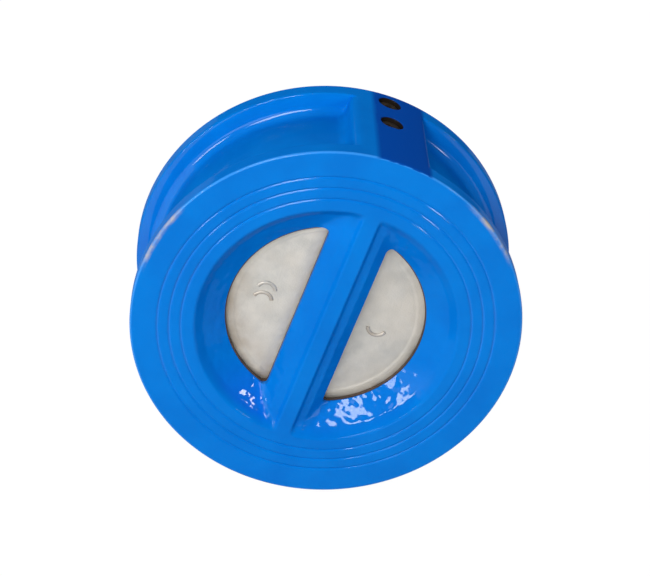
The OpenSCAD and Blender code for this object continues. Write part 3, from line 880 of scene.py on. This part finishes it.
paint_values = {
    # Pooled paint on the cone's low side, partly painted shade.
    "pooled_and_shaded": pool_and_shade * thick_and_shaded,
    # Cream stretches: worn primer and a painted highlight on the rim's edge.
    "rubbed_highlight": close(turn_gap, RUBBED_HIGHLIGHT_CORE, RUBBED_HIGHLIGHT_REACH) * close(edge_gap, RUBBED_HIGHLIGHT_EDGE, RUBBED_HIGHLIGHT_BAND),
    # Bare drilled holes, near-black as painted shade.
    "drilled_and_shaded": (hole_gap < PLUG_HOLE_R + WELD) & (np.abs(z) > CHAMBER_R + MARGIN),
    # A painted highlight on the inlet face's edge.
    "edge_highlight": close(edge_gap, EDGE_HIGHLIGHT_CORE, EDGE_HIGHLIGHT_BAND),
    # Painted shade on most of each boss.
    "boss_shade": boss_shade * (radius > RIM_R - EDGE),
}

# %% [markdown]
# The paint is glossiest where it ran together: at the low side of the cone and in its valleys beside
# the bridge, in the fillets beside the rims, in the grooves and on the edge of the face. A clear coat
# gives the gloss, and its weight is a value on the mesh: low all over and high at these places.

# %% Glossy places
GLOSS = {"all": 0.1, "cone": 0.6, "valley": 1.0, "fillet": 0.6, "groove": 0.4, "edge": 0.4}

waist_end = OUTLET_Y - RIM_T
in_waist = (radius > WAIST_R - WELD) & (radius < RIM_R - EDGE) & (np.abs(y) < waist_end + RIM_ROUND)
beside_rim = smooth_step(np.abs(y), waist_end - 2 * WAIST_FILLET, waist_end - WAIST_FILLET)
off_boss = smooth_step(np.abs(x), BOSS_SIDE + BOSS_FILLET, BOSS_SIDE + 3 * BOSS_FILLET)
off_bridge = smooth_step(np.abs(x), BRIDGE_W / 2 - MARGIN, BRIDGE_W / 2 + MARGIN)
on_face = (y < INLET_Y + RIM_ROUND) & (radius > FACE_IN_R) & (radius < RIM_R - 2 * RIM_ROUND)
groove_gap = (radius - MOUTH_R - GROOVE_START + GROOVE_PITCH / 2) % GROOVE_PITCH - GROOVE_PITCH / 2
gloss = {
    "all": np.ones_like(x),
    "cone": pool_and_shade * off_bridge,
    "valley": pool_and_shade * close(np.abs(cone_lead), VALLEY_EDGE, VALLEY / 2),
    "fillet": in_waist * beside_rim * off_boss,
    "groove": on_face * (np.abs(groove_gap) < GROOVE_WIDTH),
    "edge": paint_values["edge_highlight"],
}
paint_values["glossy"] = np.max([GLOSS[place] * value for place, value in gloss.items()], axis=0)


def carry(piece, values):
    """Puts named values on a piece's mesh points, where its finish reads them."""
    for name, value in values.items():
        attribute = piece.data.attributes.new(name, "FLOAT", "POINT")
        attribute.data.foreach_set("value", np.asarray(value, np.float32))
        print(f"{piece.name}: {np.count_nonzero(value)} points are {name}")


carry(body, paint_values)

# %% [markdown]
# ## Rubber seat
# A flat rubber seat lies in the recess behind the ports, and the plates shut against it. From the
# inlet only its inner edge shows, as a dark line round each plate: it stands a little into the port,
# and its lips are rounded.

# %% Rubber seat
SEAT_FIT = 0.03
LIP, SEAT_PROUD, SEAT_RINGS = 0.4, 0.5, 6
seat_patches = []
for side in (1, -1):
    rim = half_disc(SEAL_R - SEAT_FIT)
    lips_out = [LIP, LIP / 3, 0, 0]
    moons = [half_moon(PORT_R - SEAT_PROUD + out, BRIDGE_W / 2 - out, PORT_CORNER) for out in lips_out]
    heights = [SEAT_Y, SEAT_Y - LIP / 3, SEAT_Y - LIP, SEAL_Y + SEAT_FIT]
    front = lifted(between_loops(rim, moons[0], SEAT_RINGS), SEAT_Y, side)
    lips = np.concatenate([lifted(moon[None], y, side) for moon, y in zip(moons[1:], heights[1:])])
    back = lifted(between_loops(moons[-1], rim, SEAT_RINGS)[1:], SEAL_Y + SEAT_FIT, side)
    seat_patches.append(loft(np.concatenate([front, lips, back])))
rim_wall = (SEAL_R - SEAT_FIT) * np.stack([np.sin(turns), 0 * turns, np.cos(turns)], axis=1)
seat_patches.append(loft(np.stack([rim_wall + [0, SEAT_Y, 0], rim_wall + [0, SEAL_Y + SEAT_FIT, 0]])))
add_piece("seat_seal", seat_patches, seat_rubber)

# %% [markdown]
# ## Plates
# Each plate is a cast half-moon with a machined band where it seats, and two lugs that hang on the
# pin. The front is a landscape again: the band is a height added to it. Small raised foundry marks,
# two crescents and one, are beads: a circle carried along an arc, a little sunk.

# %% Plate blades
BAND_R, BAND_STEP, BAND_RAMP, CAST_HEIGHT = 38.3, 0.25, 0.4, 0.04
MARK_R, MARK_SINK = 0.9, 0.3
CRESCENT_R, CRESCENT_STEPS = 4.0, 30
LEFT_MARKS, LEFT_TURNS = [(-27.0, -3.4), (-27.0, 1.4)], (20, 160)
RIGHT_MARKS, RIGHT_TURNS = [(23.0, 0.6)], (-165, -20)
PLATE_CORNER, PLATE_ROUND, PLATE_BEVEL = 1.5, 0.5, 1.2
MIDDLE_INSET, FRONT_RINGS, CAST_SEED = 19.0, 44, 11


def bead(plan):
    """Loops of a bead along a plan curve on a plate's front, sunk so that a third of it stands out."""
    y = np.full(len(plan), PLATE_Y + BAND_STEP + MARK_SINK)
    return swept(np.stack([plan[:, 0], y, plan[:, 1]], axis=1), MARK_R, [0, 1, 0])


def crescents(middles, turns):
    """Raised crescents: beads along arcs about the middles given, between two angles in degrees."""
    beads = [bead(arc(middle, CRESCENT_R, *turns, CRESCENT_STEPS)) for middle in middles]
    return [patch for loops in beads for patch in capped(loops)]


def blade(side):
    """A half-moon plate as loops: front from middle to edge, round the rim, back to the middle."""
    def moon(inset):
        return half_moon(PLATE_R - inset, PLATE_GAP / 2 + inset, PLATE_CORNER)

    plan = np.stack([moon(inset) for inset in np.linspace(MIDDLE_INSET, PLATE_ROUND, FRONT_RINGS)])
    x, z = side * plan[..., 0], plan[..., 1]
    band = BAND_STEP * (1 - smooth_step(np.hypot(x, z), BAND_R - BAND_RAMP, BAND_R + BAND_RAMP))
    cast = CAST_HEIGHT * lumps(x, z, CAST_SEED + side)
    front = lifted(plan, PLATE_Y + band + np.abs(cast), side)
    back_y = PLATE_Y + PLATE_T
    rim = run(
        arc((PLATE_ROUND, PLATE_Y + PLATE_ROUND), PLATE_ROUND, -90, -180, 3)[1:],
        arc((PLATE_BEVEL, back_y - PLATE_BEVEL), PLATE_BEVEL, 180, 90, 3),
        line((PLATE_BEVEL, back_y), (MIDDLE_INSET, back_y), 7),
    )
    edge = np.concatenate([lifted(moon(inset)[None], y, side) for inset, y in rim])
    return [loft(np.concatenate([front, edge])), fan(front[0]), fan(edge[-1])]


# %% [markdown]
# A lug is an eye round the pin that runs out into a foot on the plate. Its outline and the bore
# inside it are two loops, and a short profile of edges, sides and bore is carried round them, so
# the lug is one ring-shaped surface. Close to the plate the sides flare out as a cast fillet.

# %% Plate lugs
LUG_R, LUG_FOOT, HEEL_RUN, STOP_GAP, OPEN_ANGLE = 9.0, 25.0, 4.0, 0.3, 82.0
LUG_ROUND, LUG_POINTS, EYE_STEPS, FOOT_FILLET, FOOT_SINK = 0.8, 160, 40, 2.5, 1.0
SIDE_RINGS = 6


def between_washers(lower, upper):
    """Lowest and highest Z of a lug that runs between two thrust washers."""
    return node_box(lower)[1][2] + SIDE_GAP, node_box(upper)[0][2] - SIDE_GAP


outer_lug = between_washers("upper_plate_bearing", "upper_body_bearing")
inner_lug = between_washers("upper_spring_bearing", "upper_plate_bearing")


def lug_outline():
    """Outline round the pin: the eye's arc, a flank that meets the stop pin when open, and the foot."""
    pin_gap = STOP_Y - HINGE_Y
    flank_turn = math.degrees(math.acos((LUG_R + PIN_R + STOP_GAP) / pin_gap))
    lean = math.radians(OPEN_ANGLE - flank_turn)
    length = pin_gap * math.sin(math.radians(flank_turn)) + HEEL_RUN
    top = LUG_R * np.array([-math.sin(lean), math.cos(lean)])
    heel = top - length * np.array([math.cos(lean), math.sin(lean)])
    foot_y = PLATE_Y + PLATE_T - HINGE_Y - FOOT_SINK
    inner_foot = np.array([-PLATE_GAP / 2 - PLATE_ROUND, foot_y])
    eye = math.atan2(foot_y, inner_foot[0]) + math.acos(LUG_R / np.linalg.norm(inner_foot))
    eye_arc = arc((0, 0), LUG_R, math.degrees(eye), math.degrees(lean) + 90, EYE_STEPS)
    corners = np.array([heel, [-LUG_FOOT, foot_y], inner_foot, eye_arc[0]])
    return resample(run(eye_arc, corners), np.linspace(0, 1, LUG_POINTS, endpoint=False))


def lug(low_z, high_z):
    """A lug between two heights: rows of radius and side carried round, trimmed to the plate's edge.

    A point outside the plate's round edge is drawn back to it, straight towards the flow axis.
    """
    outline = lug_outline()
    reach = np.linalg.norm(outline, axis=1, keepdims=True)
    heading = outline / reach
    half, middle = (high_z - low_z) / 2, (high_z + low_z) / 2
    rounding = arc((0, 0), LUG_ROUND, 0, 90, 4) - [LUG_ROUND, LUG_ROUND]
    rows = [(reach + inset, half + up) for inset, up in rounding]
    for share in np.linspace(0, 1, SIDE_RINGS + 1)[1:]:
        rows.append(((1 - share) * (reach - LUG_ROUND) + share * (BORE_R + EDGE), half))
    rows.append((0 * reach + BORE_R, half - EDGE))
    rows += [(radius, -level) for radius, level in rows[::-1]]
    rows.append(rows[0])
    foot_y = PLATE_Y + PLATE_T - HINGE_Y
    loops = []
    for radius, level in rows:
        plan = heading * radius
        drop = np.clip(1 - (plan[:, 1] - foot_y) / FOOT_FILLET, 0, 1)
        flare = FOOT_FILLET * (1 - np.sqrt(1 - drop**2))
        z = middle + level + math.copysign(1, level) * flare * (abs(level) > half - LUG_ROUND - WELD)
        trim = np.minimum(1, (PLATE_R - PLATE_BEVEL) / np.hypot(plan[:, 0], z))
        loops.append(np.stack([plan[:, 0] * trim, plan[:, 1] + HINGE_Y, z * trim], axis=1))
    return loft(np.stack(loops))


# %% Two plates
STAIN_SPAN, STAIN_FADE = (27.0, 41.0), (5.0, 32.0)
STAIN_LEFT, STAIN_RIGHT, STAIN_MARK = 0.95, 0.2, 0.9

left_lugs = [lug(*outer_lug), lug(-inner_lug[1], -inner_lug[0])]
half_turn_about_flow = np.array([-1.0, 1.0, -1.0])
right_lugs = [(points * half_turn_about_flow, faces) for points, faces in left_lugs]
left_marks, right_marks = crescents(LEFT_MARKS, LEFT_TURNS), crescents(RIGHT_MARKS, RIGHT_TURNS)
left_plate = add_piece("left_plate", blade(-1) + left_lugs + left_marks, left_steel_lit, "left_plate")
right_plate = add_piece("right_plate", blade(1) + right_lugs + right_marks, right_steel_shaded, "right_plate")
for plate, strength in ((left_plate, STAIN_LEFT), (right_plate, STAIN_RIGHT)):
    x, y, z = points_of(plate)
    radius = np.hypot(x, z)
    by_seat = strength * smooth_step(radius, *STAIN_SPAN) * close(upward(x, z), *STAIN_FADE)
    on_mark = STAIN_MARK * (y < PLATE_Y + BAND_STEP / 2) * (radius < BAND_R - BAND_RAMP)
    carry(plate, {"stained": np.maximum(by_seat, on_mark)})

# %% [markdown]
# ## Pins, plugs, seals and washers
# These are turned parts, so each is a profile of radius and height carried round its own axis,
# which stands along Z through the hinge pin or the stop pin.

# %% Turned parts
ROUND_STEPS = 72
round_turn = np.linspace(0, 2 * math.pi, ROUND_STEPS, endpoint=False)
ring_of_one = np.stack([np.cos(round_turn), np.sin(round_turn)], axis=1)


def turned(rows, axis_y):
    """Loops of a turned part: each row is a radius, or one radius per angle, and a height."""
    loops = []
    for radius, height in rows:
        plan = ring_of_one * np.reshape(radius, (-1, 1)) + [0, axis_y]
        loops.append(np.column_stack([plan, np.full(ROUND_STEPS, height)]))
    return np.stack(loops)


def chamfered(radius, low, high, bevel):
    """Rows of a plain cylinder with bevelled ends."""
    return [(radius - bevel, low), (radius, low + bevel), (radius, high - bevel), (radius - bevel, high)]


# %% Pins
PIN_BEVEL = 0.6
for node, axis_y in (("hinge_pin", HINGE_Y), ("stop_pin", STOP_Y)):
    rows = chamfered(PIN_R, pin_low[2], pin_high[2], PIN_BEVEL)
    add_piece(node, capped(turned(rows, axis_y)), pin_steel)

# %% [markdown]
# A plug has a hexagon socket for a key. Round the plug, the distance to a hexagon's flat is half
# its width over the cosine of the angle from that flat, so the socket is one more row.

# %% Plugs and the seals under them
SOCKET_AF, SOCKET_DEPTH, SOCKET_EASE = 5.0, 4.0, 0.8
PLUG_BEVEL, SEAL_BEVEL, DRILL_TIP = 0.7, 0.25, 0.3
sixth = math.pi / 3
socket_radius = SOCKET_AF / 2 / np.cos((round_turn + sixth / 2) % sixth - sixth / 2)
for end_name, end in (("upper", 1), ("lower", -1)):
    for pin_name, axis_y in (("hinge", HINGE_Y), ("stop", STOP_Y)):
        low, top = plug_low[2], plug_high[2]
        rows = chamfered(PLUG_R, low, top, PLUG_BEVEL)
        rows += [(SOCKET_AF / 2 + SOCKET_EASE, top), (socket_radius, top - SOCKET_EASE / 2)]
        rows += [(socket_radius, top - SOCKET_DEPTH), (DRILL_TIP, top - SOCKET_DEPTH - SOCKET_EASE)]
        loops = turned(rows, axis_y) * [1, 1, end]
        add_piece(f"{end_name}_{pin_name}_plug", capped(loops), plug_finish)
        seal_box = node_box(f"{end_name}_{pin_name}_plug_seal")
        rows = chamfered(PLUG_R, seal_box[0][2], seal_box[1][2], SEAL_BEVEL)
        add_piece(f"{end_name}_{pin_name}_plug_seal", capped(turned(rows, axis_y)), seal_rubber)

# %% Thrust washers
WASHER_BEVEL = 0.3
places = [f"{end}_{beside}" for end in ("upper", "lower") for beside in ("body", "plate", "spring")]
for node in [f"{place}_bearing" for place in [*places, "middle_spring"]]:
    low, high = node_box(node)
    rows = chamfered(high[0], low[2], high[2], WASHER_BEVEL)
    rows += [(BORE_R + WASHER_BEVEL, high[2]), (BORE_R, high[2] - WASHER_BEVEL)]
    rows += [(BORE_R, low[2] + WASHER_BEVEL), (BORE_R + WASHER_BEVEL, low[2])]
    add_piece(node, [loft(turned(rows + rows[:1], HINGE_Y))], washer_white)

# %% [markdown]
# ## Springs
# Each spring is one wire: a leg that leans on the stop pin, a coil round the hinge pin, and a leg
# with a foot on the plate. The route is worked out first, then a circle is carried along it.

# %% Spring wire
WIRE_R, COIL_R, COIL_TURNS, COIL_PITCH = 1.0, 6.0, 8, 2.6
LEG_REACH, FOOT_LEN, LEG_OVER, LEG_GAP = 25.0, 9.0, 6.0, 0.3
BEND, COIL_STEPS, BEND_STEPS = 4.0, 40, 8


def wire_route(low_z):
    """Points along the wire: the leg past the stop pin, a helix, and the bent leg on the plate."""
    stop_touch = np.array([-(PIN_R + WIRE_R + LEG_GAP), STOP_Y - HINGE_Y])
    bend = np.array([-LEG_REACH, PLATE_Y + PLATE_T - HINGE_Y + WIRE_R + LEG_GAP])
    turn_in = math.atan2(stop_touch[1], stop_touch[0]) + math.acos(COIL_R / np.linalg.norm(stop_touch))
    turn_out = math.atan2(bend[1], bend[0]) - math.acos(COIL_R / np.linalg.norm(bend)) + 2 * math.pi
    sweep = 2 * math.pi * COIL_TURNS + turn_out - turn_in
    share = np.linspace(0, 1, COIL_STEPS * COIL_TURNS)
    turn = turn_in + share * sweep
    high = low_z + WIRE_R + COIL_PITCH * sweep / (2 * math.pi)
    height = high + (low_z + WIRE_R - high) * share
    coil = np.stack([COIL_R * np.cos(turn), COIL_R * np.sin(turn), height], axis=1)
    rise = (stop_touch - coil[0, :2]) / np.linalg.norm(stop_touch - coil[0, :2])
    tip = np.r_[stop_touch + LEG_OVER * rise, high]
    foot = np.r_[bend, low_z + WIRE_R]
    into = (coil[-1] - foot) / np.linalg.norm(coil[-1] - foot)
    t = np.linspace(0, 1, BEND_STEPS + 1)[:, None]
    along = np.array([-1.0, 0.0, 0.0])
    bent = (1 - t) ** 2 * (foot + BEND * into) + 2 * t * (1 - t) * foot + t * t * (foot + BEND * along)
    outer_leg, inner_leg = line(tip, coil[0], 16), line(coil[-1], bent[0], 12)
    return run(outer_leg, coil, inner_leg, bent, line(bent[-1], foot + FOOT_LEN * along, 5))


spring_low, spring_high = node_box("left_spring")
loops = swept(wire_route(spring_low[2]), WIRE_R, [0, 0, 1]) + [0, HINGE_Y, 0]
for node, flip, body_name in (
    ("left_spring", np.ones(3), "left_plate"), ("right_spring", half_turn_about_flow, "right_plate")
):
    spring = add_piece(node, capped(loops * flip), wire_steel, body=None)
    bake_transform(spring)

# %% [markdown]
# ## Camera
# The photograph looks at the inlet from above, and the valve is turned about its flow axis. The
# camera is turned instead of the valve: its place and axes are given upright and then turned back
# by that angle, so the part keeps its own frame.

# %% Camera
CAMERA_PLACE = Vector((-25.4, -779.2, 443.0)) * MM
CAMERA_RIGHT = Vector((0.99959, -0.02366, 0.01617))
CAMERA_FORWARD = Vector((0.02856, 0.86956, -0.49299))
FOCAL_PIXELS, PHOTO_W, SENSOR_W = 2109, 650, 36

camera_data = bpy.data.cameras.new("camera")
camera_data.sensor_width = SENSOR_W
camera_data.lens = FOCAL_PIXELS / PHOTO_W * SENSOR_W
camera = bpy.data.objects.new("camera", camera_data)
axes = Matrix((CAMERA_RIGHT, CAMERA_RIGHT.cross(CAMERA_FORWARD), -CAMERA_FORWARD)).transposed()
upright = Matrix.Translation(CAMERA_PLACE) @ axes.to_4x4()
camera.matrix_world = Matrix.Rotation(-PHOTO_TURN, 4, "Y") @ upright
bpy.context.scene.collection.objects.link(camera)
bpy.context.scene.camera = camera
print("camera at", [round(v, 3) for v in camera.matrix_world.translation])

# %% [markdown]
# ## Floor and light
# The valve stands on a plain white floor in soft light. To the camera and in reflections the floor
# is mostly its own white, and the rest of it is lit, so a faint shadow stays. The main lamp is high
# in front, a little to the left, and its reflection glints in the low side of the mouth. Smaller
# lamps at the left, the right and the front fill the shadows, a wide one behind lights the back
# without a highlight, and the world adds a weak blue sky.

# %% Floor
FLOOR_SIZE = 40.0
FLOOR_OWN_WHITE, FLOOR_STRENGTH = 0.92, 1.07
FLOOR_LIT, FLOOR_ROUGHNESS = (0.6, 0.6, 0.6, 1), 0.9

floor_mesh = bpy.data.meshes.new("floor")
corner = np.array([(-1, -1, 0), (1, -1, 0), (1, 1, 0), (-1, 1, 0)]) * FLOOR_SIZE / 2
floor_mesh.from_pydata(corner + [0, 0, -RIM_R * MM], [], [(0, 1, 2, 3)])
floor = bpy.data.objects.new("floor", floor_mesh)
bpy.context.scene.collection.objects.link(floor)
floor_finish = bpy.data.materials.new("white_floor")
floor_finish.use_nodes = True
tree = floor_finish.node_tree
lit = tree.nodes["Principled BSDF"]
lit.inputs["Base Color"].default_value = FLOOR_LIT
lit.inputs["Roughness"].default_value = FLOOR_ROUGHNESS
own = add_node(tree, "ShaderNodeEmission", Color=(1, 1, 1, 1), Strength=FLOOR_STRENGTH)
path = tree.nodes.new("ShaderNodeLightPath")
seen = path.outputs["Is Camera Ray"]
for ray in ("Is Glossy Ray", "Is Transmission Ray"):
    either = tree.nodes.new("ShaderNodeMath")
    either.operation = "MAXIMUM"
    tree.links.new(seen, either.inputs[0])
    tree.links.new(path.outputs[ray], either.inputs[1])
    seen = either.outputs["Value"]
part = add_node(tree, "ShaderNodeMapRange", Value=seen, To_Max=FLOOR_OWN_WHITE)
blend = add_node(tree, "ShaderNodeMixShader", Fac=part.outputs["Result"])
tree.links.new(lit.outputs["BSDF"], blend.inputs[1])
tree.links.new(own.outputs["Emission"], blend.inputs[2])
tree.links.new(blend.outputs["Shader"], tree.nodes["Material Output"].inputs["Surface"])
floor_mesh.materials.append(floor_finish)

# %% Lamps and world
SKY_BLUE, SKY_STRENGTH = (0.45, 0.72, 1.0, 1), 0.22


def soft_lamp(name, place, size, power, mirrored=True):
    """A rectangular lamp that faces the valve, placed in the upright photograph's axes, in metres.

    A lamp that isn't mirrored lights the valve but leaves no highlight on it.
    """
    lamp = bpy.data.lights.new(name, "AREA")
    lamp.shape = "RECTANGLE"
    lamp.size, lamp.size_y = size
    lamp.energy = power
    holder = bpy.data.objects.new(name, lamp)
    where = Matrix.Rotation(-PHOTO_TURN, 4, "Y") @ Vector(place)
    aim = (-where).to_track_quat("-Z", "Y")
    holder.matrix_world = Matrix.Translation(where) @ aim.to_matrix().to_4x4()
    holder.visible_glossy = mirrored
    bpy.context.scene.collection.objects.link(holder)


soft_lamp("main_lamp", (-0.37, -0.99, 0.77), (0.66, 0.28), 8.7)
soft_lamp("left_lamp", (-0.93, -0.81, 0.45), (0.22, 0.40), 4.4)
soft_lamp("right_lamp", (0.92, -0.81, 0.42), (0.22, 0.15), 2.7)
soft_lamp("front_lamp", (-0.39, -1.21, 0.26), (0.40, 0.40), 1.2)
soft_lamp("rear_lamp", (0.10, 1.10, 0.55), (1.40, 0.80), 8.0, mirrored=False)
world = bpy.data.worlds.new("studio")
bpy.context.scene.world = world
world.use_nodes = True
sky = world.node_tree.nodes["Background"].inputs
sky["Color"].default_value = SKY_BLUE
sky["Strength"].default_value = SKY_STRENGTH
bpy.context.scene.view_settings.view_transform = "Standard"
